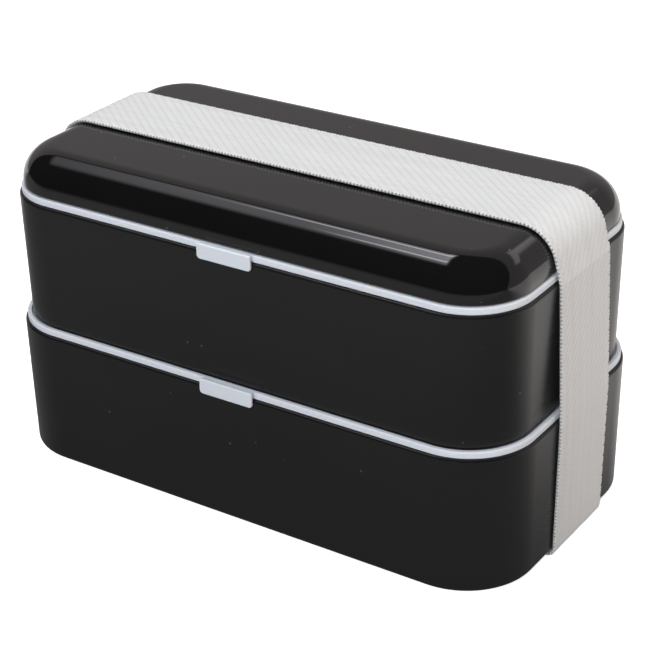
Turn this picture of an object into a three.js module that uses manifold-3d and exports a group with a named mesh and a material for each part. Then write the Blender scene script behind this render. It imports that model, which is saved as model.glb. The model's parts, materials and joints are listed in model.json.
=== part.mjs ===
// Two-tier bento lunch box: two stacked containers, each closed by a sealing inner lid,
// a domed outer lid on top, and an elastic strap that holds the stack together.
// Millimetres, +Z up, +X along the box, the front (the side with the pull tabs) faces -Y.
// The origin is on the surface the box stands on, under the middle of its bounding box.
import * as THREE from 'three';
import { mergeVertices } from 'three/addons/utils/BufferGeometryUtils.js';
import Module from 'manifold-3d';

// ---- Driving dimensions ----
const LENGTH = 185;          // over the lower container's rim, along X
const DEPTH = 97.3;          // over the lower container's rim, along Y
const CORNER_R = 23;         // vertical corners, at the lower rim
const LOWER_HEIGHT = 45.1;   // lower container, base to rim
const UPPER_HEIGHT = 42.7;   // upper container, base to rim
const UPPER_INSET = 1.9;     // the upper tier's outline, in from the lower one's
const FIT_GAP = 0.3;         // between pieces that rest on each other

// container
const WALL = 1.8;
const FLOOR = 1.7;
const DRAFT = 0.6;           // how far the outside steps in from rim to base
const RIM_R = 0.9;           // rounded outer edge of the rim
const BASE_R = 1.6;          // rounded outer edge of the base
const INNER_R = 4;           // fillet between wall and floor, inside
const MOUTH_EDGE = 0.3;      // small chamfer on the inside of the rim
const FOOT_WIDTH = 9;        // flat ring that the container stands on
const FOOT_RECESS = 0.8;     // how far the base panel is raised inside that ring

// inner lid
const FLANGE_INSET = 0.8;    // flange edge, in from the rim's outline
const FLANGE_T = 2;
const FLANGE_EDGE = 0.5;     // rounding of the flange's and the skirt's edges
const LEDGE = 1.3;           // flat ledge around the recess in the top
const RECESS = 1.2;          // the next tier's base drops this far into the lid
const RECESS_SLOPE = 0.25;
const PANEL_T = 1.5;
const SKIRT_INSET = 2.75;    // outside of the skirt that plugs the container
const SKIRT_T = 1.65;
const SKIRT_DEPTH = 6;
const GROOVE_DEPTH = 0.95;
const GROOVE_TOP = 2.6;      // below the flange
const GROOVE_HEIGHT = 2;
const SEAL_CLEARANCE = 0.15;
const SEAL_LIP = 0.6;        // height of the lip's tip

// pull tab at the middle of the front
const TAB_WIDTH = 18.6;
const TAB_HEIGHT = 5;
const TAB_T = 1.5;
const TAB_CLEARANCE = 0.25;  // to the container's wall
const TAB_R = 1.5;
const TAB_BEVEL = 0.3;
const WEB_SHORTER = 1.2;     // the web behind the plate is this much narrower than it
const WEB_OVERLAP = 0.4;     // how far the web runs into the plate
const WEB_ROOT = 1.5;        // and into the flange
const WEB_BOTTOM = 0.35;     // above the rim that the flange rests on

// vent plug and the cup in the inner lid that holds it
const VENT_X = -48;
const CUP_R = 11;
const CUP_DEPTH = 4;
const VENT_HOLE_R = 2.4;
const PLUG_SEAT = 0.2;       // the cap sits this far above the cup's floor
const PLUG_CAP_R = 7;
const PLUG_CAP_T = 2;
const PLUG_CAP_EDGE = 0.5;
const PLUG_LIP = 1.6;        // flat lip round the cap's finger dish
const PLUG_DISH = 0.7;
const PLUG_STEM_GAP = 0.4;   // between the stem and its hole
const PLUG_TRAVEL = 1.6;
const BULB_GAP = 0.3;
const BULB_OVER = 0.6;       // the bulb is this much wider than the hole
const BULB_HEIGHT = 2;

// outer lid
const LID_INSET = 1.5;
const LID_SKIRT = 1.1;
const SHOULDER_R = 11;
const LID_WALL = 1.8;
const LID_EDGE = 0.4;
const RIB_GAP = 0.6;         // between the rib and the inner lid's ledge
const RIB_DRAFT = 0.1;
const RIB_T = 1.2;           // locating rib that drops into the inner lid's recess

// elastic strap
const STRAP_WIDTH = 31.5;
const STRAP_T = 1.2;
const STRAP_Y = 2.4;         // the strap sits a little behind the middle
const STRAP_FIT = 0.3;

// divider in the lower container
const DIVIDER_X = 22;
const DIVIDER_T = 1.4;
const DIVIDER_TOP = 36;      // above the container's base
const DIVIDER_CLEARANCE = 0.4;
const DIVIDER_END = 9;       // length of the flanges at its two ends

// tessellation
const CORNER_STEPS = 10;     // columns of points round each vertical corner
const EDGE_STEPS = 3;        // steps round a small edge radius
const SHOULDER_STEPS = 7;
const ROUND_SEGMENTS = 32;
const BEND_STEP = Math.PI / 16;   // largest turn between two points of the strap's loop

// ---- Heights and places worked out from them ----
const LOWER = { inset: 0, height: LOWER_HEIGHT };
const UPPER = { inset: UPPER_INSET, height: UPPER_HEIGHT };
const BASE_Z = STRAP_T + STRAP_FIT;
const LOWER_RIM_Z = BASE_Z + LOWER_HEIGHT;
const LOWER_LID_Z = LOWER_RIM_Z + FIT_GAP;
const UPPER_BASE_Z = LOWER_LID_Z + FLANGE_T - RECESS + FIT_GAP;
const UPPER_RIM_Z = UPPER_BASE_Z + UPPER_HEIGHT;
const UPPER_LID_Z = UPPER_RIM_Z + FIT_GAP;
const COVER_Z = UPPER_LID_Z + FLANGE_T + FIT_GAP;
const COVER_HEIGHT = LID_SKIRT + SHOULDER_R;
const COVER_TOP_Z = COVER_Z + COVER_HEIGHT;
const TAB_REACH = TAB_CLEARANCE + TAB_T;
const BODY_Y = TAB_REACH / 2;   // centres the bounding box, tabs included, on the origin
const AXIS = CORNER_R;          // an inset this large means the middle of the outline

// ---- Materials ----
const plastic = (color, roughness) => new THREE.MeshStandardMaterial({ color, roughness, metalness: 0 });
const blackSatin = plastic(0x1d1c1e, 0.42);
const blackGloss = plastic(0x0f0f10, 0.08);
const whitePlastic = plastic(0xe6eaf0, 0.35);
const silicone = plastic(0xd8dbdd, 0.6);
const webbing = plastic(0xdcdad5, 0.9);

// ---- Solid modelling helpers ----
const wasm = await Module();
wasm.setup();

/** Turns a closed geometry into a solid that can be joined and cut. */
function toSolid(geometry) {
  const bare = geometry.index ? geometry.clone() : mergeVertices(geometry);
  bare.deleteAttribute('normal');
  bare.deleteAttribute('uv');
  const merged = mergeVertices(bare, 1e-4);
  const mesh = new wasm.Mesh({
    numProp: 3,
    vertProperties: new Float32Array(merged.attributes.position.array),
    triVerts: new Uint32Array(merged.index.array),
  });
  return new wasm.Manifold(mesh);
}

/** Turns a solid back into a geometry. */
function toGeometry(solid) {
  const mesh = solid.getMesh();
  const geometry = new THREE.BufferGeometry();
  geometry.setAttribute('position', new THREE.BufferAttribute(new Float32Array(mesh.vertProperties), 3));
  geometry.setIndex(new THREE.BufferAttribute(new Uint32Array(mesh.triVerts), 1));
  geometry.computeVertexNormals();
  return geometry;
}

/** Points on an arc in a profile of (inset, height), angles in degrees, both ends included. */
function arc(inset, z, radius, from, to, steps) {
  const points = [];
  for (let i = 0; i <= steps; i += 1) {
    const angle = THREE.MathUtils.degToRad(from + (to - from) * i / steps);
    points.push([inset - radius * Math.cos(angle), z + radius * Math.sin(angle)]);
  }
  return points;
}

/**
 * Carries a profile of (inset, height) round a tier's rounded outline. Insets run inwards from
 * the tier's rim. It is a lathe whose corners are then moved out to the box's four corners.
 */
function sweep(profile, tier) {
  const rimR = CORNER_R - tier.inset;
  const section = profile.map(([inset, z]) => new THREE.Vector2(Math.max(rimR - inset, 0), z));
  const columns = 4 * CORNER_STEPS;
  const geometry = new THREE.LatheGeometry(section, columns);
  const position = geometry.attributes.position;
  for (let i = 0; i < position.count; i += 1) {
    const column = Math.floor(i / section.length) % columns;
    const { x: radius, y: z } = section[i % section.length];
    const quarter = Math.floor(column / CORNER_STEPS);
    const turn = (column % CORNER_STEPS) / (CORNER_STEPS - 1);
    const angle = (quarter + turn) * Math.PI / 2;
    const sideX = quarter === 0 || quarter === 3 ? 1 : -1;
    const sideY = quarter < 2 ? 1 : -1;
    const onAxis = radius === 0;
    const x = onAxis ? 0 : sideX * (LENGTH / 2 - CORNER_R) + radius * Math.cos(angle);
    const y = onAxis ? 0 : sideY * (DEPTH / 2 - CORNER_R) + radius * Math.sin(angle);
    position.setXYZ(i, x, y, z);
  }
  geometry.deleteAttribute('normal');
  geometry.deleteAttribute('uv');
  return mergeVertices(geometry, 1e-4);
}

/** A round piece turned about Z from a profile of (radius, height). */
function turned(profile) {
  const section = profile.map(([radius, z]) => new THREE.Vector2(radius, z));
  return new THREE.LatheGeometry(section, ROUND_SEGMENTS).rotateX(Math.PI / 2);
}

/** A disc or plug with its axis along Z, between two heights. */
function disc(radius, bottom, top, x) {
  const geometry = new THREE.CylinderGeometry(radius, radius, top - bottom, ROUND_SEGMENTS);
  return geometry.rotateX(Math.PI / 2).translate(x, 0, (top + bottom) / 2);
}

function box(sizeX, sizeY, sizeZ, x, y, z) {
  return new THREE.BoxGeometry(sizeX, sizeY, sizeZ).translate(x, y, z);
}

// ---- The pieces, each drawn with its own lowest or mating face at z = 0 ----

/** How far a container's outside is in from its rim's outline at a height above its base. */
function draftAt(height, tier) {
  return DRAFT * (1 - height / tier.height);
}

function containerGeometry(tier) {
  const footInside = DRAFT + BASE_R + FOOT_WIDTH;
  const floorInset = WALL + DRAFT;
  return sweep([
    [AXIS, FOOT_RECESS],
    [footInside + FOOT_RECESS, FOOT_RECESS],
    [footInside, 0],
    ...arc(DRAFT + BASE_R, BASE_R, BASE_R, -90, 0, EDGE_STEPS + 1),
    ...arc(RIM_R, tier.height - RIM_R, RIM_R, 0, 90, EDGE_STEPS),
    [WALL - MOUTH_EDGE, tier.height],
    [WALL, tier.height - MOUTH_EDGE],
    ...arc(floorInset + INNER_R, FLOOR + INNER_R, INNER_R, 0, -90, EDGE_STEPS),
    [AXIS, FLOOR],
  ], tier);
}

/** The flange rests on the rim at z = 0, and the skirt hangs below it inside the container. */
function innerLidBody(tier) {
  const skirtInside = SKIRT_INSET + SKIRT_T;
  const panelTop = FLANGE_T - RECESS;
  const panelUnderside = panelTop - PANEL_T;
  const grooveInset = SKIRT_INSET + GROOVE_DEPTH;
  const edge = FLANGE_EDGE;
  const ledgeInside = FLANGE_INSET + LEDGE;
  return sweep([
    [AXIS, panelUnderside],
    [skirtInside, panelUnderside],
    [skirtInside, -SKIRT_DEPTH],
    [SKIRT_INSET + edge, -SKIRT_DEPTH],
    [SKIRT_INSET, -SKIRT_DEPTH + edge],
    [SKIRT_INSET, -GROOVE_TOP - GROOVE_HEIGHT],
    [grooveInset, -GROOVE_TOP - GROOVE_HEIGHT],
    [grooveInset, -GROOVE_TOP],
    [SKIRT_INSET, -GROOVE_TOP],
    [SKIRT_INSET, 0],
    ...arc(FLANGE_INSET + edge, edge, edge, -90, 0, EDGE_STEPS),
    ...arc(FLANGE_INSET + edge, FLANGE_T - edge, edge, 0, 90, EDGE_STEPS),
    [ledgeInside, FLANGE_T],
    [ledgeInside + RECESS_SLOPE, panelTop],
    [AXIS, panelTop],
  ], tier);
}

/** Front plate of the pull tab, rounded at its four corners, and the web that joins it on. */
function tabParts(tier) {
  const half = TAB_WIDTH / 2;
  const bevel = TAB_BEVEL;
  const low = FLANGE_T - TAB_HEIGHT + bevel;
  const high = FLANGE_T - bevel;
  const reach = half - bevel;
  const r = TAB_R - bevel;
  const outline = new THREE.Shape();
  outline.absarc(reach - r, low + r, r, -Math.PI / 2, 0, false);
  outline.lineTo(reach, high);
  outline.lineTo(-reach, high);
  outline.absarc(-reach + r, low + r, r, Math.PI, 1.5 * Math.PI, false);
  const plate = new THREE.ExtrudeGeometry(outline, {
    depth: TAB_T - 2 * bevel,
    bevelEnabled: true,
    bevelThickness: bevel,
    bevelSize: bevel,
    bevelSegments: 2,
    curveSegments: 4,
  });
  const backFace = tier.inset - DEPTH / 2 - TAB_CLEARANCE;
  plate.rotateX(Math.PI / 2).translate(0, backFace - bevel, 0);
  const webDepth = TAB_CLEARANCE + FLANGE_INSET + WEB_ROOT;
  const webY = backFace + webDepth / 2 - WEB_OVERLAP;
  const webHeight = FLANGE_T - WEB_BOTTOM - bevel;
  const web = box(TAB_WIDTH - WEB_SHORTER, webDepth, webHeight, 0, webY, WEB_BOTTOM + webHeight / 2);
  return [plate, web];
}

function innerLidGeometry(tier) {
  const panelTop = FLANGE_T - RECESS;
  const cupFloor = panelTop - CUP_DEPTH;
  let lid = toSolid(innerLidBody(tier));
  for (const part of tabParts(tier)) {
    lid = lid.add(toSolid(part));
  }
  lid = lid.add(toSolid(disc(CUP_R + PANEL_T, cupFloor - PANEL_T, panelTop - PANEL_T / 2, VENT_X)));
  lid = lid.subtract(toSolid(disc(CUP_R, cupFloor, panelTop + 1, VENT_X)));
  lid = lid.subtract(toSolid(disc(VENT_HOLE_R, cupFloor - 2 * PANEL_T, panelTop, VENT_X)));
  return toGeometry(lid);
}

/** Seal ring: a body that sits in the skirt's groove and a lip that reaches for the wall. */
function sealRingGeometry(tier) {
  const top = -GROOVE_TOP - SEAL_CLEARANCE;
  const bottom = -GROOVE_TOP - GROOVE_HEIGHT + SEAL_CLEARANCE;
  const middle = (top + bottom) / 2;
  const inside = SKIRT_INSET + GROOVE_DEPTH - SEAL_CLEARANCE;
  const lipTip = WALL + draftAt(tier.height + bottom, tier) + SEAL_CLEARANCE;
  const lipHalf = SEAL_LIP / 2;
  return sweep([
    [inside, bottom],
    [SKIRT_INSET, bottom],
    [lipTip, middle - lipHalf],
    [lipTip, middle + lipHalf],
    [SKIRT_INSET, top],
    [inside, top],
    [inside, bottom],
  ], tier);
}

/** Captive vent plug: a cap in the cup, a stem through the hole and a bulb that stops it. */
function ventPlugGeometry() {
  const seat = FLANGE_T - RECESS - CUP_DEPTH + PLUG_SEAT;
  const capTop = seat + PLUG_CAP_T;
  const stemR = VENT_HOLE_R - PLUG_STEM_GAP;
  const bulbTop = seat - PLUG_SEAT - PANEL_T - PLUG_TRAVEL - BULB_GAP;
  const bulbR = VENT_HOLE_R + BULB_OVER;
  const taper = BULB_HEIGHT / 4;
  return turned([
    [0, bulbTop - BULB_HEIGHT],
    [stemR, bulbTop - BULB_HEIGHT + taper],
    [bulbR, bulbTop - taper],
    [bulbR, bulbTop],
    [stemR, bulbTop],
    [stemR, seat],
    [PLUG_CAP_R - PLUG_CAP_EDGE, seat],
    [PLUG_CAP_R, seat + PLUG_CAP_EDGE],
    [PLUG_CAP_R, capTop - PLUG_CAP_EDGE],
    [PLUG_CAP_R - PLUG_CAP_EDGE, capTop],
    [PLUG_CAP_R - PLUG_LIP, capTop],
    [PLUG_CAP_R - PLUG_LIP - PLUG_DISH, capTop - PLUG_DISH],
    [0, capTop - PLUG_DISH],
  ]).translate(VENT_X, 0, 0);
}

/** Domed cover: short skirt, quarter-round shoulder and flat top, with a rib that locates it. */
function outerLidGeometry() {
  const inside = LID_INSET + LID_WALL;
  const ribBottom = -RECESS;
  const ribOutside = FLANGE_INSET + LEDGE + RIB_GAP;
  const shoulder = LID_INSET + SHOULDER_R;
  const edge = LID_EDGE;
  return sweep([
    [AXIS, COVER_HEIGHT - LID_WALL],
    ...arc(shoulder, LID_SKIRT, SHOULDER_R - LID_WALL, 90, 0, SHOULDER_STEPS),
    [inside + edge, 0],
    [ribOutside + RIB_T, ribBottom],
    [ribOutside + RIB_DRAFT, ribBottom],
    [ribOutside, 0],
    ...arc(LID_INSET + edge, edge, edge, -90, 0, 2),
    ...arc(shoulder, LID_SKIRT, SHOULDER_R, 0, 90, SHOULDER_STEPS),
    [AXIS, COVER_HEIGHT],
  ], UPPER);
}

/** The round edges that the taut strap bears on, as [x, z, radius], anticlockwise from the base. */
function strapSupports() {
  const right = [
    [LENGTH / 2 - DRAFT - BASE_R, BASE_Z + BASE_R, BASE_R],
    [LENGTH / 2 - RIM_R, LOWER_RIM_Z - RIM_R, RIM_R],
    [LENGTH / 2 - UPPER_INSET - RIM_R, UPPER_RIM_Z - RIM_R, RIM_R],
    [LENGTH / 2 - UPPER_INSET - LID_INSET - SHOULDER_R, COVER_TOP_Z - SHOULDER_R, SHOULDER_R],
  ];
  const left = right.map(([x, z, radius]) => [-x, z, radius]).reverse();
  return [...right, ...left];
}

/** Direction, in radians, of the outward normal of the straight run from one support to the next. */
function runNormal([x1, z1, r1], [x2, z2, r2]) {
  const heading = Math.atan2(z2 - z1, x2 - x1);
  return heading - Math.acos((r1 - r2) / Math.hypot(x2 - x1, z2 - z1));
}

/** The loop that a taut band makes round the supports, at a distance off them. */
function tautLoop(offset) {
  const supports = strapSupports();
  const count = supports.length;
  const points = [];
  supports.forEach((support, i) => {
    const [x, z, radius] = support;
    const before = runNormal(supports[(i + count - 1) % count], support);
    const after = runNormal(support, supports[(i + 1) % count]);
    const bend = THREE.MathUtils.euclideanModulo(after - before, 2 * Math.PI);
    const steps = Math.max(1, Math.round(bend / BEND_STEP));
    for (let k = 0; k <= steps; k += 1) {
      const angle = before + bend * k / steps;
      const reach = radius + offset;
      points.push(new THREE.Vector2(x + reach * Math.cos(angle), z + reach * Math.sin(angle)));
    }
  });
  return points;
}

function strapGeometry() {
  const loop = new THREE.Shape(tautLoop(STRAP_FIT + STRAP_T));
  loop.holes.push(new THREE.Path(tautLoop(STRAP_FIT)));
  const strap = new THREE.ExtrudeGeometry(loop, { depth: STRAP_WIDTH, bevelEnabled: false });
  return strap.rotateX(Math.PI / 2).translate(0, STRAP_Y + STRAP_WIDTH / 2, 0);
}

/** Cross wall with a flange at each end, so that it stands up in the container. */
function dividerGeometry() {
  const bottom = FLOOR + DIVIDER_CLEARANCE;
  const halfAt = (height) => DEPTH / 2 - WALL - draftAt(height, LOWER) - DIVIDER_CLEARANCE;
  const corner = INNER_R + DIVIDER_CLEARANCE;
  const low = halfAt(bottom);
  const high = halfAt(DIVIDER_TOP);
  const outline = new THREE.Shape();
  outline.absarc(low - corner, bottom + corner, corner, -Math.PI / 2, 0, false);
  outline.lineTo(high, DIVIDER_TOP);
  outline.lineTo(-high, DIVIDER_TOP);
  outline.absarc(-low + corner, bottom + corner, corner, Math.PI, 1.5 * Math.PI, false);
  const plate = new THREE.ExtrudeGeometry(outline, { depth: DIVIDER_T, bevelEnabled: false, curveSegments: 5 });
  plate.rotateX(Math.PI / 2).rotateZ(Math.PI / 2).translate(DIVIDER_X - DIVIDER_T / 2, 0, 0);
  const flangeBottom = bottom + corner;
  const flangeHeight = DIVIDER_TOP - flangeBottom;
  let divider = toSolid(plate);
  for (const side of [-1, 1]) {
    const y = side * (low - DIVIDER_T / 2);
    const flange = box(DIVIDER_END, DIVIDER_T, flangeHeight, DIVIDER_X, y, flangeBottom + flangeHeight / 2);
    divider = divider.add(toSolid(flange));
  }
  return toGeometry(divider);
}

// ---- Assembly ----
function piece(name, geometry, material, z) {
  const mesh = new THREE.Mesh(geometry, material);
  mesh.name = name;
  mesh.position.z = z;
  return mesh;
}

const group = new THREE.Group();
group.position.y = BODY_Y;
group.add(
  piece('lower_container', containerGeometry(LOWER), blackSatin, BASE_Z),
  piece('lower_divider', dividerGeometry(), whitePlastic, BASE_Z),
  piece('lower_inner_lid', innerLidGeometry(LOWER), whitePlastic, LOWER_LID_Z),
  piece('lower_seal_ring', sealRingGeometry(LOWER), silicone, LOWER_LID_Z),
  piece('lower_vent_plug', ventPlugGeometry(), silicone, LOWER_LID_Z),
  piece('upper_container', containerGeometry(UPPER), blackSatin, UPPER_BASE_Z),
  piece('upper_inner_lid', innerLidGeometry(UPPER), whitePlastic, UPPER_LID_Z),
  piece('upper_seal_ring', sealRingGeometry(UPPER), silicone, UPPER_LID_Z),
  piece('upper_vent_plug', ventPlugGeometry(), silicone, UPPER_LID_Z),
  piece('outer_lid', outerLidGeometry(), blackGloss, COVER_Z),
  piece('elastic_strap', strapGeometry(), webbing, 0),
);

export default group;
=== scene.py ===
"""A two-tier bento lunch box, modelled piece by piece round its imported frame."""
import json
import math

import bmesh
import bpy
from mathutils import Matrix, Vector

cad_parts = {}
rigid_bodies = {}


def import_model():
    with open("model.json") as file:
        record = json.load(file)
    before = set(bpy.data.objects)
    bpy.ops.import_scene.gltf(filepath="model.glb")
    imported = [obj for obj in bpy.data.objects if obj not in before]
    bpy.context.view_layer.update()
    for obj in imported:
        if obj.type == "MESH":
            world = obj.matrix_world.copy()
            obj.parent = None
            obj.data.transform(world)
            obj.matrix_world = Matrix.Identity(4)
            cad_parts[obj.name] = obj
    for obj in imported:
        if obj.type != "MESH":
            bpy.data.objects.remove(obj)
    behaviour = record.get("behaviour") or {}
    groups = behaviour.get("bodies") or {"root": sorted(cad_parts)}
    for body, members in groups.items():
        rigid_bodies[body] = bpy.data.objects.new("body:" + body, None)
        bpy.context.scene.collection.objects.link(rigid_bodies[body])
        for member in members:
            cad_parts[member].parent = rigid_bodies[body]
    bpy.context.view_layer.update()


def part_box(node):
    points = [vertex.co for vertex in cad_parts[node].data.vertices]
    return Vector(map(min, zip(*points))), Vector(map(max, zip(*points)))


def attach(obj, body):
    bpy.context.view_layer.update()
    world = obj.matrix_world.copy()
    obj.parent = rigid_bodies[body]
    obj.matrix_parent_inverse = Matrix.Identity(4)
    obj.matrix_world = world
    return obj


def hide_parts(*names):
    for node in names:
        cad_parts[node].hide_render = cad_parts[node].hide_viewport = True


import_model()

MM = 0.001

# ---- Sizes of the moulded pieces, in metres ----
CORNER = 23.0 * MM
WALL = 1.8 * MM
FLOOR = 1.7 * MM
DRAFT = 0.6 * MM
RIM_ROUND = 0.9 * MM
MOUTH_ROUND = 0.3 * MM
BASE_ROUND = 1.6 * MM
BOWL_ROUND = 4.0 * MM
FOOT_WIDTH = 9.0 * MM
FOOT_RECESS = 0.8 * MM

FLANGE_INSET = 0.8 * MM
FLANGE = 2.0 * MM
FLANGE_EDGE = 0.5 * MM
FLANGE_SEAT = 0.03 * MM        # the flange's foot clears the rim by this much
LEDGE = 1.3 * MM
RECESS = 1.2 * MM
RECESS_TAPER = 0.25 * MM
RECESS_ROUND = 0.4 * MM
PANEL = 1.5 * MM
SKIRT_INSET = 2.75 * MM
SKIRT_WALL = 1.65 * MM
SKIRT_DEPTH = 6.0 * MM
SKIRT_EDGE = 0.5 * MM
SKIRT_INNER_EDGE = 0.3 * MM
GROOVE_TOP = 2.6 * MM
GROOVE_HEIGHT = 2.0 * MM
GROOVE_DEPTH = 0.95 * MM
SEAL_GAP = 0.15 * MM
LIP_MARGIN = 0.2 * MM          # the lips keep this far from the ring's two sides
LIP_OFFSET = 0.3 * MM          # each lip lies this far from the ring's middle
LIP_TRIM = 0.03 * MM
LIP_TAPER = 0.35               # a lip's tip as a share of its root

TAB_WIDTH = 19.3 * MM
TAB_HEIGHT = 5.0 * MM
TAB_THICK = 1.0 * MM
TAB_RISE = 0.45 * MM           # the plate stands this far above the flange
TAB_GAP = 0.25 * MM
TAB_ROUND = 1.15 * MM
TAB_FACE_EDGE = 0.45 * MM
TAB_BACK_EDGE = 0.25 * MM
WEB_MARGIN = 0.4 * MM          # the web is narrower than the plate by this much on each side
WEB_OVERLAP = 0.5 * MM
WEB_REACH = 2.3 * MM
WEB_FOOT = 0.35 * MM
WEB_DROP = 0.06 * MM
WEB_EDGE = 0.3 * MM

CUP_RADIUS = 11.0 * MM
CUP_DEPTH = 4.0 * MM
CUP_EDGE = 0.8 * MM
VENT_HOLE = 2.4 * MM
PLUG_CAP = 2.0 * MM
PLUG_EDGE = 0.5 * MM
PLUG_BAND = 1.1 * MM           # flat band round the plug's dish
PLUG_SLOPE = 0.8 * MM
PLUG_DISH = 0.7 * MM
PLUG_CENTRE = 2.0 * MM
PLUG_CENTRE_DROP = 0.1 * MM
PLUG_STEM = 2.0 * MM
BULB_HEIGHT = 2.0 * MM
BULB_STEPS = ((0, 1.5), (0.5, 1.0), (0.6, 0.88), (0.5, 0.8), (0.4, 0.62))    # drop in mm, share of width

COVER_INSET = 1.5 * MM
COVER_SHOULDER = 11.0 * MM
COVER_WALL = 1.8 * MM
COVER_LIFT = 0.3 * MM          # the cover's foot clears the flange by this much
COVER_FOOT_EDGE = 0.35 * MM
RIB_INSET = 2.7 * MM
RIB_THICK = 1.2 * MM

DIVIDER_HALF_WALL = 0.7 * MM
DIVIDER_FOOT_SHARE = 0.987     # the foot is this share of the full depth
DIVIDER_FOOT_ROUND = 4.4 * MM
DIVIDER_FLANGE = 1.4 * MM
DIVIDER_FLANGE_INSET = 0.65 * MM
DIVIDER_FLANGE_EDGE = 0.35 * MM
DIVIDER_TOP_EDGE = 0.3 * MM

STRAP_THICK = 1.2 * MM
STRAP_WIDTH = 31.5 * MM
STRAP_GAP = 0.3 * MM
ROW = 0.4 * MM                 # weft rows along the strap
ROWS_PER_TOOTH = 3             # rows in one loop of the selvedge, and the twill's step from rib to rib
ROWS_PER_FLOAT = 9             # rows in one repeat of the face yarns
RIBS = 31                      # warp ribs across the strap
COLUMNS_PER_RIB = 2
BACK_COLUMNS = 2
RIB_GROOVE = 0.09 * MM
FLOAT_DEPTHS = (0.17, 0.11, 0.04, 0.01, 0.0, 0.0, 0.01, 0.04, 0.11)    # mm, row by row over one repeat
FLOAT_LEAN = 0.22              # how far a float slants across its rib, in repeats
LOOP_DEPTH = 0.45 * MM
DEEP_LOOP_DEPTH = 0.62 * MM
BEND_STEP = 0.03               # radians between points on a bend
EDGE_START = 0.955             # where the face begins to round over, as a share of the half width
EDGE_DROP = 0.25 * MM
RIPPLE = 0.03 * MM             # the face's slow unevenness
RIPPLES_ACROSS = 9.0
RIPPLE_SWAY = 1.3
RIPPLE_LENGTH = 0.043
BACK_INSET = 0.65 * MM
BACK_EDGE_RISE = 0.15 * MM

AZIMUTH, ELEVATION, ROLL = 33.71, 26.96, -1.02    # degrees
CAMERA_DISTANCE = 605.04 * MM
CAMERA_SLIDE = (4.1897 * MM, -1.695 * MM, 0)      # right and up in the camera's own view
FOCUS_HEIGHT = 47 * MM
LENS, SENSOR = 103.582, 36                        # both in mm


# ---- Places taken from the frame ----
class Tier:
    """One tier's outline and heights: the container, and the lid that closes it."""

    def __init__(self, level):
        self.shell = f"{level}_container"
        self.lid = f"{level}_inner_lid"
        low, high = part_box(self.shell)
        self.base, self.rim = low.z, high.z
        self.half_x = (high.x - low.x) / 2
        self.half_y = (high.y - low.y) / 2
        self.x, self.y = (low.x + high.x) / 2, (low.y + high.y) / 2
        self.flange_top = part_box(self.lid)[1].z
        self.flange_base = self.flange_top - FLANGE


LOWER = Tier("lower")
UPPER = Tier("upper")
UPPER_STEP = LOWER.half_x - UPPER.half_x
LOWER.corner = CORNER
UPPER.corner = CORNER - UPPER_STEP


# ---- Modelling by hand: small wrappers round the edit-mode operators ----
def clear_selection():
    for thing in bpy.context.view_layer.objects:
        thing.select_set(False)


def take(piece):
    """Makes a piece the only selected one, and the active one."""
    clear_selection()
    piece.select_set(True)
    bpy.context.view_layer.objects.active = piece


def settle(piece):
    """Puts a piece's place into its mesh, so that its object sits at the origin."""
    take(piece)
    bpy.ops.object.transform_apply(location=True, rotation=True, scale=True)
    return piece


def edit(piece):
    take(piece)
    bpy.ops.object.mode_set(mode="EDIT")


def finish_edit():
    bpy.ops.object.mode_set(mode="OBJECT")


def box_piece(name, low, high):
    clear_selection()
    bpy.ops.mesh.primitive_cube_add(size=1, location=(Vector(low) + Vector(high)) / 2)
    piece = bpy.context.object
    piece.name = piece.data.name = name
    piece.scale = Vector(high) - Vector(low)
    return settle(piece)


def round_piece(name, x, y, low_z, high_z, radius, sides=64):
    clear_selection()
    bpy.ops.mesh.primitive_cylinder_add(
        vertices=sides, radius=radius, depth=high_z - low_z, location=(x, y, (low_z + high_z) / 2)
    )
    piece = bpy.context.object
    piece.name = piece.data.name = name
    return settle(piece)


def pick_edges(test):
    """Selects the edges that pass a test on their two end points."""
    bpy.ops.mesh.select_mode(type="EDGE")
    bpy.ops.mesh.select_all(action="DESELECT")
    mesh = bpy.context.object.data
    working = bmesh.from_edit_mesh(mesh)
    for edge in working.edges:
        edge.select_set(bool(test(edge.verts[0].co, edge.verts[1].co)))
    bmesh.update_edit_mesh(mesh)


def pick_faces(test):
    """Selects the faces that pass a test on their middle and normal."""
    bpy.ops.mesh.select_mode(type="FACE")
    bpy.ops.mesh.select_all(action="DESELECT")
    mesh = bpy.context.object.data
    working = bmesh.from_edit_mesh(mesh)
    for face in working.faces:
        face.select_set(bool(test(face.calc_center_median(), face.normal)))
    bmesh.update_edit_mesh(mesh)


def near(a, b, reach=0.02 * MM):
    return abs(a - b) < reach


def cap_up(z):
    return lambda middle, normal: normal.z > 0.99 and near(middle.z, z)


def cap_down(z):
    return lambda middle, normal: normal.z < -0.99 and near(middle.z, z)


def level(z):
    return lambda a, b: near(a.z, z) and near(b.z, z)


def upright(a, b):
    return near(a.x, b.x) and near(a.y, b.y) and not near(a.z, b.z)


def round_edges(radius, steps, clamp=False):
    bpy.ops.mesh.bevel(
        offset=radius, segments=steps, profile=0.5, affect="EDGES", clamp_overlap=clamp
    )


def step_in(distance):
    bpy.ops.mesh.inset(thickness=distance, use_even_offset=True)


def push(dz):
    bpy.ops.mesh.extrude_region_move(TRANSFORM_OT_translate={"value": (0, 0, dz)})


def swell(distance):
    """Extrudes the selected faces along their own normals."""
    bpy.ops.mesh.extrude_region_shrink_fatten(TRANSFORM_OT_shrink_fatten={"value": distance})


def narrow(tier, inset, amount):
    """Draws the selected cap in on all sides, as a mould's draft does."""
    half_x, half_y = tier.half_x - inset, tier.half_y - inset
    bpy.ops.transform.resize(
        value=((half_x - amount) / half_x, (half_y - amount) / half_y, 1),
        center_override=(tier.x, tier.y, 0),
    )


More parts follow.
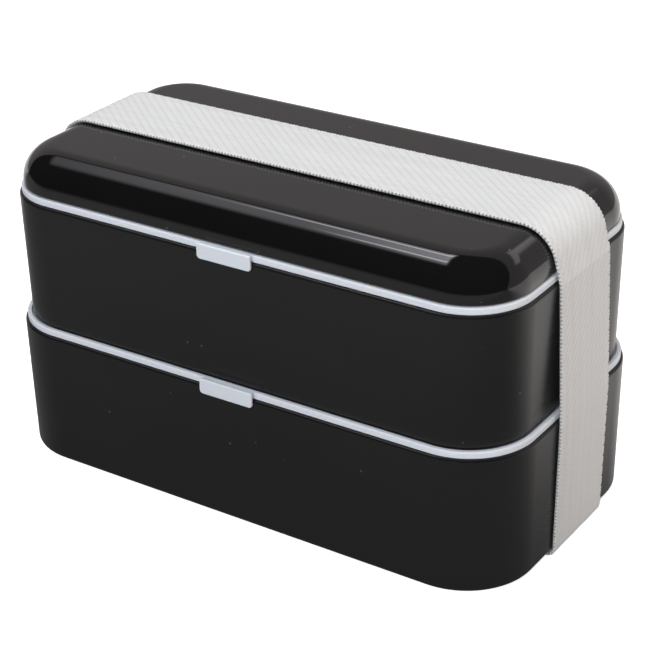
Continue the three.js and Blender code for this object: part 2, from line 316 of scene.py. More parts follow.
def on_outline(tier, inset, reach=0.12 * MM):
    """A test for edges on a tier's rounded outline, a distance in from its rim."""
    radius = tier.corner - inset

    def offset(point):
        dx = abs(point.x - tier.x) - (tier.half_x - tier.corner)
        dy = abs(point.y - tier.y) - (tier.half_y - tier.corner)
        return math.hypot(dx, dy) if dx > 0 and dy > 0 else max(dx, dy)

    return lambda a, b: near(offset(a), radius, reach) and near(offset(b), radius, reach)


def both(first, second):
    return lambda a, b: first(a, b) and second(a, b)


def rounded_block(name, tier, inset, low_z, high_z, steps=20):
    """A block on a tier's outline, a distance in from its rim, with round vertical corners."""
    half_x, half_y = tier.half_x - inset, tier.half_y - inset
    low = (tier.x - half_x, tier.y - half_y, low_z)
    high = (tier.x + half_x, tier.y + half_y, high_z)
    piece = box_piece(name, low, high)
    edit(piece)
    pick_edges(upright)
    round_edges(tier.corner - inset, steps)
    return piece


def smooth(piece, degrees=35):
    take(piece)
    bpy.ops.object.shade_smooth_by_angle(angle=math.radians(degrees))
    weigh = piece.modifiers.new("even_normals", "WEIGHTED_NORMAL")
    weigh.keep_sharp = True
    bpy.ops.object.modifier_apply(modifier=weigh.name)
    return piece


def combine(piece, other, operation):
    """Unites a piece with another or cuts it, and uses the other up."""
    take(piece)
    tool = piece.modifiers.new("combine", "BOOLEAN")
    tool.operation = operation
    tool.solver = "EXACT"
    tool.object = other
    bpy.ops.object.modifier_apply(modifier=tool.name)
    bpy.data.objects.remove(other)
    return piece


def stand_for(piece, node, body, material):
    """Finishes a piece: what it replaces, what it rides on and what it is made of."""
    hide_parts(node)
    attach(piece, body)
    piece.data.materials.clear()
    piece.data.materials.append(material)
    return piece


# ---- Containers ----
def make_container(name, tier):
    """Open box with a drafted wall, a recessed foot, a rounded bowl and a rounded rim."""
    piece = rounded_block(name, tier, 0, tier.base, tier.rim)
    pick_faces(cap_down(tier.base))
    narrow(tier, 0, DRAFT)
    pick_edges(level(tier.base))
    round_edges(BASE_ROUND, 6)
    pick_faces(cap_down(tier.base))
    step_in(FOOT_WIDTH)
    step_in(FOOT_RECESS)
    bpy.ops.transform.translate(value=(0, 0, FOOT_RECESS))
    pick_faces(cap_up(tier.rim))
    step_in(WALL)
    floor_z = tier.base + FLOOR
    push(floor_z - tier.rim)
    narrow(tier, WALL, DRAFT)
    pick_edges(level(floor_z))
    round_edges(BOWL_ROUND, 8)
    pick_edges(both(level(tier.rim), on_outline(tier, 0)))
    round_edges(RIM_ROUND, 5)
    pick_edges(both(level(tier.rim), on_outline(tier, WALL)))
    round_edges(MOUTH_ROUND, 3)
    finish_edit()
    return smooth(piece)


# ---- Inner lids ----
def make_inner_lid(name, tier):
    """White lid: flange on the rim, a recessed panel and a skirt with a groove; the tab and vent cup are
    added after.
    """
    top, base = tier.flange_top, tier.rim + FLANGE_SEAT
    piece = rounded_block(name, tier, FLANGE_INSET, base, top)
    pick_edges(level(top))
    round_edges(FLANGE_EDGE, 5)
    pick_edges(level(base))
    round_edges(FLANGE_EDGE, 4)
    pick_faces(cap_up(top))
    step_in(LEDGE - FLANGE_EDGE)
    push(-RECESS)
    narrow(tier, FLANGE_INSET + LEDGE, RECESS_TAPER)
    panel_top = top - RECESS
    pick_edges(level(panel_top))
    round_edges(RECESS_ROUND, 3)
    pick_faces(cap_down(base))
    step_in(SKIRT_INSET - FLANGE_INSET - FLANGE_EDGE)
    for drop in (GROOVE_TOP, GROOVE_HEIGHT, SKIRT_DEPTH - GROOVE_TOP - GROOVE_HEIGHT):
        push(-drop)
    skirt_base = base - SKIRT_DEPTH
    step_in(SKIRT_WALL)
    push(panel_top - PANEL - skirt_base)
    pick_edges(both(level(skirt_base), on_outline(tier, SKIRT_INSET)))
    round_edges(SKIRT_EDGE, 3)
    pick_edges(both(level(skirt_base), on_outline(tier, SKIRT_INSET + SKIRT_WALL)))
    round_edges(SKIRT_INNER_EDGE, 3)
    groove_middle = base - GROOVE_TOP - GROOVE_HEIGHT / 2
    outside = on_outline(tier, SKIRT_INSET, 0.3 * MM)
    pick_faces(lambda middle, normal: near(middle.z, groove_middle, 0.2 * MM) and outside(middle, middle))
    swell(-GROOVE_DEPTH)
    finish_edit()
    return piece


def make_tab(name, tier):
    """The pull tab's plate, rounded all round, with the web that joins it to the flange."""
    face = tier.y - tier.half_y - TAB_GAP - TAB_THICK
    half = TAB_WIDTH / 2
    low = (tier.x - half, face, tier.flange_top + TAB_RISE - TAB_HEIGHT)
    high = (tier.x + half, face + TAB_THICK, tier.flange_top + TAB_RISE)
    piece = box_piece(name, low, high)
    edit(piece)
    pick_edges(lambda a, b: near(a.x, b.x) and near(a.z, low[2]) and near(b.z, low[2]))
    round_edges(TAB_ROUND, 8)
    pick_edges(lambda a, b: near(a.y, face) and near(b.y, face))
    round_edges(TAB_FACE_EDGE, 5)
    back = face + TAB_THICK
    pick_edges(lambda a, b: near(a.y, back) and near(b.y, back))
    round_edges(TAB_BACK_EDGE, 3)
    finish_edit()
    web_low = (tier.x - half + WEB_MARGIN, back - WEB_OVERLAP, tier.flange_base + WEB_FOOT)
    web_high = (tier.x + half - WEB_MARGIN, back + WEB_REACH, tier.flange_top - WEB_DROP)
    web = box_piece(name + "_web", web_low, web_high)
    edit(web)
    pick_edges(lambda a, b: not near(a.y, b.y) and near(a.z, b.z) and near(a.x, b.x))
    round_edges(WEB_EDGE, 3)
    finish_edit()
    return combine(piece, web, "UNION")


def make_sealing_lid(name, tier, vent_x):
    """Inner lid with its tab, and the cup and hole that the vent plug sits in."""
    piece = make_inner_lid(name, tier)
    combine(piece, make_tab(name + "_tab", tier), "UNION")
    panel_top = tier.flange_top - RECESS
    cup_floor = panel_top - CUP_DEPTH
    cup = round_piece(
        "cup", vent_x, tier.y, cup_floor - PANEL, panel_top - PANEL / 2, CUP_RADIUS + PANEL
    )
    edit(cup)
    pick_edges(level(cup_floor - PANEL))
    round_edges(CUP_EDGE, 4)
    finish_edit()
    combine(piece, cup, "UNION")
    bowl = round_piece("bowl", vent_x, tier.y, cup_floor, panel_top + MM, CUP_RADIUS)
    edit(bowl)
    pick_edges(level(cup_floor))
    round_edges(CUP_EDGE, 4)
    finish_edit()
    combine(piece, bowl, "DIFFERENCE")
    hole = round_piece("hole", vent_x, tier.y, cup_floor - 2 * PANEL, panel_top, VENT_HOLE, 40)
    combine(piece, hole, "DIFFERENCE")
    return smooth(piece, 30)


# ---- Seal rings ----
def make_seal_ring(name, tier, node):
    """Silicone ring: a square body in the groove and a soft double lip that reaches for the wall."""
    low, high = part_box(node)
    inside = SKIRT_INSET + GROOVE_DEPTH - SEAL_GAP
    reach = tier.half_x - (high.x - low.x) / 2
    piece = rounded_block(name, tier, SKIRT_INSET, low.z, high.z)
    for z, face in ((high.z, cap_up), (low.z, cap_down)):
        pick_faces(face(z))
        step_in(inside - SKIRT_INSET)
        bpy.ops.mesh.delete(type="FACE")
    pick_edges(on_outline(tier, inside))
    bpy.ops.mesh.select_mode(type="EDGE")
    bpy.ops.mesh.bridge_edge_loops()
    for z in (low.z + LIP_MARGIN, (low.z + high.z) / 2, high.z - LIP_MARGIN):
        bpy.ops.mesh.select_all(action="SELECT")
        bpy.ops.mesh.bisect(plane_co=(0, 0, z), plane_no=(0, 0, 1))
    outside = on_outline(tier, SKIRT_INSET, 0.3 * MM)
    middle_z = (low.z + high.z) / 2
    for z in (middle_z - LIP_OFFSET, middle_z + LIP_OFFSET):
        pick_faces(
            lambda middle, normal: (
                near(middle.z, z, 0.25 * MM) and outside(middle, middle) and abs(normal.z) < 0.1
            )
        )
        swell(SKIRT_INSET - reach - LIP_TRIM)
        bpy.ops.transform.resize(value=(1, 1, LIP_TAPER), center_override=(0, 0, z))
    bpy.ops.mesh.select_all(action="SELECT")
    bpy.ops.mesh.normals_make_consistent(inside=False)
    finish_edit()
    return smooth(piece)


# ---- Vent plugs ----
def make_vent_plug(name, node):
    """Captive plug: a dished cap, a stem through the lid and a bulb that stops it."""
    low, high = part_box(node)
    x, y = (low.x + high.x) / 2, (low.y + high.y) / 2
    radius = (high.x - low.x) / 2
    piece = round_piece(name, x, y, high.z - PLUG_CAP, high.z, radius)
    edit(piece)
    pick_edges(level(high.z))
    round_edges(PLUG_EDGE, 4)
    pick_edges(level(high.z - PLUG_CAP))
    round_edges(PLUG_EDGE, 3)
    pick_faces(cap_up(high.z))
    step_in(PLUG_BAND)
    step_in(PLUG_SLOPE)
    bpy.ops.transform.translate(value=(0, 0, -PLUG_DISH))
    step_in(PLUG_CENTRE)
    bpy.ops.transform.translate(value=(0, 0, -PLUG_CENTRE_DROP))
    pick_faces(cap_down(high.z - PLUG_CAP))
    step_in(radius - PLUG_EDGE - PLUG_STEM)
    bulb_top = low.z + BULB_HEIGHT
    push(bulb_top - (high.z - PLUG_CAP))
    for drop, share in BULB_STEPS:
        push(-drop * MM)
        bpy.ops.transform.resize(value=(share, share, 1), center_override=(x, y, 0))
    finish_edit()
    return smooth(piece, 40)


# ---- Outer lid ----
def make_cover(name, node):
    """Glossy lid: a wide quarter-round shoulder all round a flat top."""
    low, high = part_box(node)
    tier = UPPER
    foot = tier.flange_top + COVER_LIFT
    piece = rounded_block(name, tier, COVER_INSET, foot, high.z, 28)
    pick_edges(level(high.z))
    round_edges(COVER_SHOULDER, 28)
    pick_edges(level(foot))
    round_edges(COVER_FOOT_EDGE, 4)
    pick_faces(cap_down(foot))
    step_in(RIB_INSET - COVER_INSET - COVER_FOOT_EDGE)
    step_in(RIB_THICK)
    ceiling = high.z - COVER_WALL
    push(ceiling - foot)
    pick_edges(level(ceiling))
    round_edges(COVER_SHOULDER - COVER_WALL, 14)
    pick_faces(lambda middle, normal: normal.z < -0.99 and near(middle.z, foot) and not rib_outside(middle))
    push(low.z - foot)
    finish_edit()
    return smooth(piece)


def rib_outside(point):
    """Whether a point is outside the locating rib's outer edge."""
    dx = abs(point.x - UPPER.x) - (UPPER.half_x - UPPER.corner)
    dy = abs(point.y - UPPER.y) - (UPPER.half_y - UPPER.corner)
    reach = math.hypot(dx, dy) if dx > 0 and dy > 0 else max(dx, dy)
    return reach > UPPER.corner - RIB_INSET - 0.05 * MM


# ---- Divider ----
def make_divider(name, node):
    """Cross wall with a short flange at each end, its edges rounded and its foot relieved."""
    low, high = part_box(node)
    middle = (low.x + high.x) / 2
    piece = box_piece(
        name, (middle - DIVIDER_HALF_WALL, low.y, low.z), (middle + DIVIDER_HALF_WALL, high.y, high.z)
    )
    edit(piece)
    pick_faces(cap_down(low.z))
    bpy.ops.transform.resize(value=(1, DIVIDER_FOOT_SHARE, 1), center_override=(middle, LOWER.y, 0))
    pick_edges(lambda a, b: near(a.z, low.z) and near(b.z, low.z) and near(a.y, b.y))
    round_edges(DIVIDER_FOOT_ROUND, 10)
    finish_edit()
    for side in (-1, 1):
        outer = high.y if side > 0 else low.y
        inner = outer - side * DIVIDER_FLANGE
        shift = side * DIVIDER_FLANGE_INSET
        first, last = sorted((outer - shift, inner - shift))
        flange = box_piece("flange", (low.x, first, low.z + DIVIDER_FOOT_ROUND), (high.x, last, high.z))
        edit(flange)
        pick_edges(lambda a, b: near(a.x, b.x) and near(a.z, b.z))
        round_edges(DIVIDER_FLANGE_EDGE, 3)
        finish_edit()
        combine(piece, flange, "UNION")
    edit(piece)
    pick_edges(lambda a, b: near(a.z, high.z) and near(b.z, high.z))
    round_edges(DIVIDER_TOP_EDGE, 3, clamp=True)
    finish_edit()
    return smooth(piece, 30)


# ---- Strap ----
def strap_supports():
    """The round edges that the taut strap bears on, as (x, z, radius), anticlockwise from the base."""
    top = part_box("outer_lid")[1].z
    right = [
        (LOWER.half_x - DRAFT - BASE_ROUND, LOWER.base + BASE_ROUND, BASE_ROUND),
        (LOWER.half_x - RIM_ROUND, LOWER.rim - RIM_ROUND, RIM_ROUND),
        (UPPER.half_x - RIM_ROUND, UPPER.rim - RIM_ROUND, RIM_ROUND),
        (UPPER.half_x - COVER_INSET - COVER_SHOULDER, top - COVER_SHOULDER, COVER_SHOULDER),
    ]
    return right + [(-x, z, radius) for x, z, radius in reversed(right)]


def strap_path(offset):
    """Evenly spaced (point, outward normal) pairs on the loop a taut band makes round its supports."""
    supports = strap_supports()
    count = len(supports)
    facing = []
    for i in range(count):
        (x1, z1, r1), (x2, z2, r2) = supports[i], supports[(i + 1) % count]
        span = math.hypot(x2 - x1, z2 - z1)
        facing.append(math.atan2(z2 - z1, x2 - x1) - math.acos((r1 - r2) / span))
    trail = []
    for i, (x, z, radius) in enumerate(supports):
        before, after = facing[i - 1], facing[i]
        bend = (after - before) % (2 * math.pi)
        steps = max(2, math.ceil(bend / BEND_STEP))
        for k in range(steps + 1):
            angle = before + bend * k / steps
            out = Vector((math.cos(angle), math.sin(angle)))
            trail.append((Vector((x, z)) + out * (radius + offset), out))
    trail.append(trail[0])
    lengths = [0.0]
    for (p, _), (q, _) in zip(trail, trail[1:]):
        lengths.append(lengths[-1] + (q - p).length)
    total = lengths[-1]
    rows = ROWS_PER_FLOAT * round(total / ROW / ROWS_PER_FLOAT)
    path, k = [], 0
    for row in range(rows):
        reach = total * row / rows
        while lengths[k + 1] < reach:
            k += 1
        share = (reach - lengths[k]) / max(lengths[k + 1] - lengths[k], 1e-9)
        (p, n), (q, m) = trail[k], trail[k + 1]
        path.append((p.lerp(q, share), n.lerp(m, share).normalized()))
    return path, total


def weave_depth(row, column):
    """How deep the face lies below the ridges of the weave, in metres."""
    if column % COLUMNS_PER_RIB == 0:
        return RIB_GROOVE
    rib = column // COLUMNS_PER_RIB
    phase = (row - ROWS_PER_TOOTH * rib) % ROWS_PER_FLOAT
    return FLOAT_DEPTHS[phase] * MM


def selvedge_depth(row):
    """How far a weft loop draws the edge in; every third loop is a deeper one."""
    if row % ROWS_PER_TOOTH:
        return 0.0
    return LOOP_DEPTH if row % ROWS_PER_FLOAT else DEEP_LOOP_DEPTH


def strap_ring(row, u, width):
    """One row of the strap as (across, lift, along, share of half width): the face, then the back."""
    columns = RIBS * COLUMNS_PER_RIB
    half = STRAP_THICK / 2
    tooth, other_tooth = selvedge_depth(row), selvedge_depth(row + 1)
    ring = []
    for column in range(columns + 1):
        v = -1 + 2 * column / columns
        side = -width / 2 + tooth if v < 0 else width / 2 - other_tooth
        edge = max(0.0, (abs(v) - EDGE_START) / (1 - EDGE_START))
        ripple = RIPPLE * (1 + math.sin(RIPPLES_ACROSS * v + RIPPLE_SWAY * math.sin(u / RIPPLE_LENGTH)))
        drop = weave_depth(row, column) + ripple * (1 - edge) + EDGE_DROP * edge ** 2
        ring.append((side * abs(v), half - drop, u, v))
    for column in range(BACK_COLUMNS + 1):
        v = 1 - 2 * column / BACK_COLUMNS
        lift = -half if abs(v) < 0.5 else -half + BACK_EDGE_RISE
        ring.append((v * (width / 2 - BACK_INSET), lift, u, v))
    return ring


def make_strap(name, node):
    """A closed woven loop, each row of the weave a ring of points, with its own map in real lengths."""
    low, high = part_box(node)
    width = high.y - low.y
    middle = (low.y + high.y) / 2
    path, length = strap_path(STRAP_GAP + STRAP_THICK / 2)
    rows = len(path)
    mesh = bpy.data.meshes.new(name)
    working = bmesh.new()
    uv_layer = working.loops.layers.uv.new("weave")
    rings, places = [], []
    for row, (point, out) in enumerate(path):
        ring = strap_ring(row, length * row / rows, width)
        verts = []
        for across, lift, _, _ in ring:
            spot = point + out * lift
            verts.append(working.verts.new((spot.x, middle + across, spot.y)))
        rings.append(verts)
        places.append([(along, share) for _, _, along, share in ring])
    size = len(rings[0])
    for row in range(rows):
        after = (row + 1) % rows
        for k in range(size):
            m = (k + 1) % size
            face = working.faces.new((rings[row][k], rings[row][m], rings[after][m], rings[after][k]))
            face.smooth = True
            for loop, (r, c) in zip(face.loops, ((row, k), (row, m), (after, m), (after, k))):
                along, share = places[r][c]
                if r == 0 and row == rows - 1:
                    along += length
                loop[uv_layer].uv = (along, share * width / 2)
    bmesh.ops.recalc_face_normals(working, faces=working.faces)
    working.to_mesh(mesh)
    working.free()
    piece = bpy.data.objects.new(name, mesh)
    bpy.context.scene.collection.objects.link(piece)
    return piece


# ---- Shader groups ----
def new_group(name, inputs, outputs):
    """A shader node group with named number or vector sockets."""
    group = bpy.data.node_groups.new(name, "ShaderNodeTree")
    for label, kind, value in inputs:
        socket = group.interface.new_socket(label, in_out="INPUT", socket_type=kind)
        if value is not None:
            socket.default_value = value
    for label, kind in outputs:
        group.interface.new_socket(label, in_out="OUTPUT", socket_type=kind)
    return group, group.nodes.new("NodeGroupInput"), group.nodes.new("NodeGroupOutput")


def add(tree, kind, inputs=(), **settings):
    """Adds a node, sets its options, and links or sets its inputs."""
    node = tree.nodes.new(kind)
    for key, value in settings.items():
        setattr(node, key, value)
    for key, value in dict(inputs).items():
        if isinstance(value, bpy.types.NodeSocket):
            tree.links.new(value, node.inputs[key])
        else:
            node.inputs[key].default_value = value
    return node


def sums(tree, operation, *values):
    """A math node's result from numbers or sockets."""
    node = add(tree, "ShaderNodeMath", enumerate(values), operation=operation)
    return node.outputs[0]


def remap(tree, value, from_low, from_high, to_low=0.0, to_high=1.0, smooth_ends=True):
    """A value carried from one range to another, held at the ends."""
    node = add(tree, "ShaderNodeMapRange", {
        "Value": value, "From Min": from_low, "From Max": from_high, "To Min": to_low, "To Max": to_high,
    }, interpolation_type="SMOOTHSTEP" if smooth_ends else "LINEAR")
    return node.outputs["Result"]


NUMBER, VECTOR = "NodeSocketFloat", "NodeSocketVector"
WELL_POSITIVE = 2000.0         # added before a fraction is taken, so that it never counts backwards


def dust_group():
    """Sparse specks of dust and lint, a few on each face."""
    group, given, out = new_group(
        "dust", [("Vector", VECTOR, None), ("Specks per metre", NUMBER, 160.0), ("Amount", NUMBER, 0.5)],
        [("Mask", NUMBER)],
    )
    cells = add(group, "ShaderNodeTexVoronoi", {
        "Vector": given.outputs["Vector"], "Scale": given.outputs["Specks per metre"], "Randomness": 1.0,
    }, feature="F1")
    size = add(group, "ShaderNodeSeparateColor", {"Color": cells.outputs["Color"]})
    radius = remap(group, size.outputs[0], 0.6, 1.0, 0.0, 0.075, False)
    speck = sums(group, "LESS_THAN", cells.outputs["Distance"], radius)
    mask = sums(group, "MULTIPLY", speck, given.outputs["Amount"])
    group.links.new(mask, out.inputs["Mask"])
    return group


def grain_group():
    """Faint uneven skin of a moulded plastic: flow bands and a very fine grain."""
    group, given, out = new_group(
        "moulded_skin", [("Vector", VECTOR, None), ("Grain per metre", NUMBER, 3000.0)],
        [("Grain", NUMBER), ("Flow", NUMBER)],
    )
    fine = add(group, "ShaderNodeTexNoise", {
        "Vector": given.outputs["Vector"], "Scale": given.outputs["Grain per metre"], "Detail": 2.0,
    })
    stretch = add(group, "ShaderNodeMapping", {"Vector": given.outputs["Vector"], "Scale": (9.0, 9.0, 26.0)})
    broad = add(group, "ShaderNodeTexNoise", {"Vector": stretch.outputs[0], "Scale": 1.0, "Detail": 3.0})
    group.links.new(fine.outputs[0], out.inputs["Grain"])
    group.links.new(broad.outputs[0], out.inputs["Flow"])
    return group


def wear_group():
    """A mask of convex edges, where handling rubs the surface smooth and pale."""
    group, given, out = new_group(
        "edge_wear", [("Vector", VECTOR, None), ("Low", NUMBER, 0.52), ("High", NUMBER, 0.62)],
        [("Mask", NUMBER)],
    )
    shape = add(group, "ShaderNodeNewGeometry")
    edge = remap(group, shape.outputs["Pointiness"], given.outputs["Low"], given.outputs["High"])
    blotches = add(group, "ShaderNodeTexNoise", {
        "Vector": given.outputs["Vector"], "Scale": 120.0, "Detail": 4.0,
    })
    broken = remap(group, blotches.outputs[0], 0.42, 0.62)
    group.links.new(sums(group, "MULTIPLY", edge, broken), out.inputs["Mask"])
    return group


def weave_group():
    """Woven elastic: slanted floats in offset ribs, from the strap's own length and width."""
    group, given, out = new_group(
        "woven_elastic", [("Vector", VECTOR, None)],
        [("Height", NUMBER), ("Gap", NUMBER), ("Notch", NUMBER), ("Streak", NUMBER)],
    )
    split = add(group, "ShaderNodeSeparateXYZ", {0: given.outputs["Vector"]})
    along, across = split.outputs[0], split.outputs[1]
    rib = sums(group, "MULTIPLY_ADD", across, RIBS / STRAP_WIDTH, RIBS / 2 + WELL_POSITIVE / 2)
    rib_place, rib_number = sums(group, "FRACT", rib), sums(group, "FLOOR", rib)
    stagger = sums(group, "MULTIPLY", rib_number, -ROWS_PER_TOOTH / ROWS_PER_FLOAT)
    lean = sums(group, "MULTIPLY_ADD", rib_place, -FLOAT_LEAN, stagger)
    repeat = sums(group, "MULTIPLY_ADD", along, 1 / (ROW * ROWS_PER_FLOAT), lean)
    run = sums(group, "FRACT", sums(group, "ADD", repeat, WELL_POSITIVE))
    side = sums(group, "ABSOLUTE", sums(group, "SUBTRACT", rib_place, 0.5))
    end = sums(group, "ABSOLUTE", sums(group, "SUBTRACT", run, 0.5))
    round_side = remap(group, side, 0.5, 0.2)
    round_end = remap(group, end, 0.5, 0.3)
    body = sums(group, "MULTIPLY_ADD", round_side, 0.4, sums(group, "MULTIPLY", round_end, 0.6))
    fibre_map = add(group, "ShaderNodeMapping", {
        "Vector": given.outputs["Vector"], "Scale": (900.0, 7000.0, 1.0),
    })
    fibre = add(group, "ShaderNodeTexNoise", {"Vector": fibre_map.outputs[0], "Scale": 1.0, "Detail": 2.0})
    height = sums(group, "MULTIPLY_ADD", fibre.outputs[0], 0.2, body)
    # Notch marks where painted shadow goes in the selvedge's notches, at the strap's edge.
    selvedge = STRAP_WIDTH / 2
    from_middle = sums(group, "ABSOLUTE", across)
    rim = remap(group, from_middle, selvedge - 0.45 * MM, selvedge - 0.1 * MM, 0.0, 0.55)
    loops = sums(group, "MULTIPLY_ADD", along, 1 / (ROW * ROWS_PER_TOOTH), WELL_POSITIVE)
    loop = sums(group, "FRACT", loops)
    notch = remap(group, sums(group, "ABSOLUTE", sums(group, "SUBTRACT", loop, 0.5)), 0.18, 0.42)
    notch = sums(group, "MULTIPLY", rim, notch)
    streak_map = add(group, "ShaderNodeMapping", {
        "Vector": given.outputs["Vector"], "Scale": (14.0, 420.0, 1.0),
    })
    streak = add(group, "ShaderNodeTexNoise", {"Vector": streak_map.outputs[0], "Scale": 1.0, "Detail": 3.0})
    group.links.new(height, out.inputs["Height"])
    # Gap marks where painted shade goes between the yarns.
    group.links.new(sums(group, "SUBTRACT", 1.0, body), out.inputs["Gap"])
    group.links.new(notch, out.inputs["Notch"])
    group.links.new(streak.outputs[0], out.inputs["Streak"])
    return group


DUST, SKIN, WEAR, WEAVE = dust_group(), grain_group(), wear_group(), weave_group()


# ---- Materials ----
RUBBED_BLACK = (0.03, 0.03, 0.032)
PALE_DUST = (0.42, 0.41, 0.38)
DARK_DUST = (0.35, 0.33, 0.3)
MILK_WHITES = (0.74, 0.77, 0.82), (0.78, 0.81, 0.86)
SILICONE_GREYS = (0.52, 0.55, 0.57), (0.6, 0.62, 0.63)
YARN_WHITES = (0.745, 0.74, 0.73), (0.785, 0.78, 0.77)
# Painted shade, laid into the gaps between the yarns.
YARN_GAP_PAINTED_SHADE = (0.42, 0.41, 0.395)
# Painted shadow, laid into the notches of the selvedge.
NOTCH_PAINTED_SHADOW = (0.05, 0.045, 0.04)


def start_material(name, **sockets):
    """A new material with its Principled shader, and numbers set on the shader's own sockets."""
    material = bpy.data.materials.new(name)
    material.use_nodes = True
    tree = material.node_tree
    shader = tree.nodes["Principled BSDF"]
    for label, value in sockets.items():
        shader.inputs[label.replace("_", " ")].default_value = value
    return material, tree, shader


def on_object(tree):
    """A piece's own coordinates, in metres."""
    return add(tree, "ShaderNodeTexCoord").outputs["Object"]


def use_group(tree, group, **inputs):
    """Places a shader group in a material, with its sockets linked or set."""
    node = tree.nodes.new("ShaderNodeGroup")
    node.node_tree = group
    for label, value in inputs.items():
        socket = node.inputs[label.replace("_", " ")]
        if isinstance(value, bpy.types.NodeSocket):
            tree.links.new(value, socket)
        else:
            socket.default_value = value
    return node


def blend_colour(tree, factor, first, second):
    """A mix of two colours, each a socket or three numbers."""
    node = add(tree, "ShaderNodeMix", data_type="RGBA")
    for index, value in ((0, factor), (6, first), (7, second)):
        if isinstance(value, bpy.types.NodeSocket):
            tree.links.new(value, node.inputs[index])
        else:
            node.inputs[index].default_value = (*value, 1.0) if index > 0 else value
    return node.outputs[2]


def bumped(tree, shader, height, distance, strength=1.0):
    bump = add(tree, "ShaderNodeBump", {"Height": height, "Distance": distance, "Strength": strength})
    tree.links.new(bump.outputs["Normal"], shader.inputs["Normal"])


def black_plastic(name, colour, pale, roughness, grain_rise, dust, specks, **sockets):
    """Moulded black plastic: flow in the skin, grain, rubbed edges and a little dust."""
    material, tree, shader = start_material(name, **sockets)
    place = on_object(tree)
    skin = use_group(tree, SKIN, Vector=place)
    wear = use_group(tree, WEAR, Vector=place)
    lint = use_group(tree, DUST, Vector=place, Specks_per_metre=specks, Amount=dust)
    base = blend_colour(tree, remap(tree, skin.outputs["Flow"], 0.35, 0.65), colour, pale)
    rubbed = blend_colour(tree, sums(tree, "MULTIPLY", wear.outputs["Mask"], 0.35), base, RUBBED_BLACK)
    dusty = blend_colour(tree, lint.outputs["Mask"], rubbed, PALE_DUST)
    tree.links.new(dusty, shader.inputs["Base Color"])
    low, high = roughness
    uneven = remap(tree, skin.outputs["Flow"], 0.3, 0.7, low, high, False)
    rough = sums(tree, "MAXIMUM", uneven, sums(tree, "MULTIPLY", lint.outputs["Mask"], 0.9))
    tree.links.new(rough, shader.inputs["Roughness"])
    bumped(tree, shader, skin.outputs["Grain"], grain_rise)
    return material


def white_plastic():
    """Bluish-white plastic that lets a little light into its surface."""
    material, tree, shader = start_material(
        "milk_white_plastic", Specular_IOR_Level=0.5, Subsurface_Weight=0.12, Subsurface_Scale=0.0015,
    )
    place = on_object(tree)
    skin = use_group(tree, SKIN, Vector=place, Grain_per_metre=2200.0)
    lint = use_group(tree, DUST, Vector=place, Specks_per_metre=110.0, Amount=0.25)
    base = blend_colour(tree, remap(tree, skin.outputs["Flow"], 0.35, 0.65), *MILK_WHITES)
    dusty = blend_colour(tree, lint.outputs["Mask"], base, DARK_DUST)
    tree.links.new(dusty, shader.inputs["Base Color"])
    tree.links.new(remap(tree, skin.outputs["Flow"], 0.3, 0.7, 0.3, 0.38, False), shader.inputs["Roughness"])
    bumped(tree, shader, skin.outputs["Grain"], 0.004 * MM)
    return material


def silicone():
    """Greyish translucent silicone with a soft bloom."""
    material, tree, shader = start_material(
        "clear_silicone", IOR=1.41, Subsurface_Weight=0.3, Subsurface_Scale=0.002, Sheen_Weight=0.15,
    )
    place = on_object(tree)
    skin = use_group(tree, SKIN, Vector=place, Grain_per_metre=1500.0)
    base = blend_colour(tree, remap(tree, skin.outputs["Flow"], 0.3, 0.7), *SILICONE_GREYS)
    tree.links.new(base, shader.inputs["Base Color"])
    uneven = remap(tree, skin.outputs["Grain"], 0.3, 0.7, 0.45, 0.58, False)
    tree.links.new(uneven, shader.inputs["Roughness"])
    bumped(tree, shader, skin.outputs["Grain"], 0.006 * MM)
    return material


def elastic_webbing():
    """Off-white woven elastic, with painted shade between the yarns and painted shadow in the notches of its
    selvedge.
    """
    material, tree, shader = start_material(
        "elastic_webbing", Roughness=0.85, Sheen_Weight=0.25, Sheen_Roughness=0.5, Specular_IOR_Level=0.25,
    )
    lengths = add(tree, "ShaderNodeUVMap", uv_map="weave").outputs["UV"]
    weave = use_group(tree, WEAVE, Vector=lengths)
    yarn = blend_colour(tree, remap(tree, weave.outputs["Streak"], 0.35, 0.68), *YARN_WHITES)
    # Painted shade: the yarn colour is darkened in the gaps between the yarns.
    shade = sums(tree, "MULTIPLY", weave.outputs["Gap"], 0.38)
    face = blend_colour(tree, shade, yarn, YARN_GAP_PAINTED_SHADE)
    # Painted shadow: the strap's edge goes near black in the selvedge's notches.
    notched = blend_colour(tree, weave.outputs["Notch"], face, NOTCH_PAINTED_SHADOW)
    tree.links.new(notched, shader.inputs["Base Color"])
    bumped(tree, shader, weave.outputs["Height"], 0.14 * MM, 0.8)
    return material


satin_black = black_plastic(
    "satin_black_plastic", (0.0075, 0.0072, 0.0075), (0.0095, 0.0092, 0.0092),
    roughness=(0.24, 0.3), grain_rise=0.0025 * MM, dust=0.13, specks=190.0,
)
gloss_black = black_plastic(
    "gloss_black_plastic", (0.0045, 0.0042, 0.0042), (0.006, 0.0055, 0.0055),
    roughness=(0.045, 0.075), grain_rise=0.0004 * MM, dust=0.3, specks=230.0,
    Coat_Weight=0.4, Coat_Roughness=0.03,
)
milk_white = white_plastic()
strap_cloth = elastic_webbing()
soft_silicone = silicone()


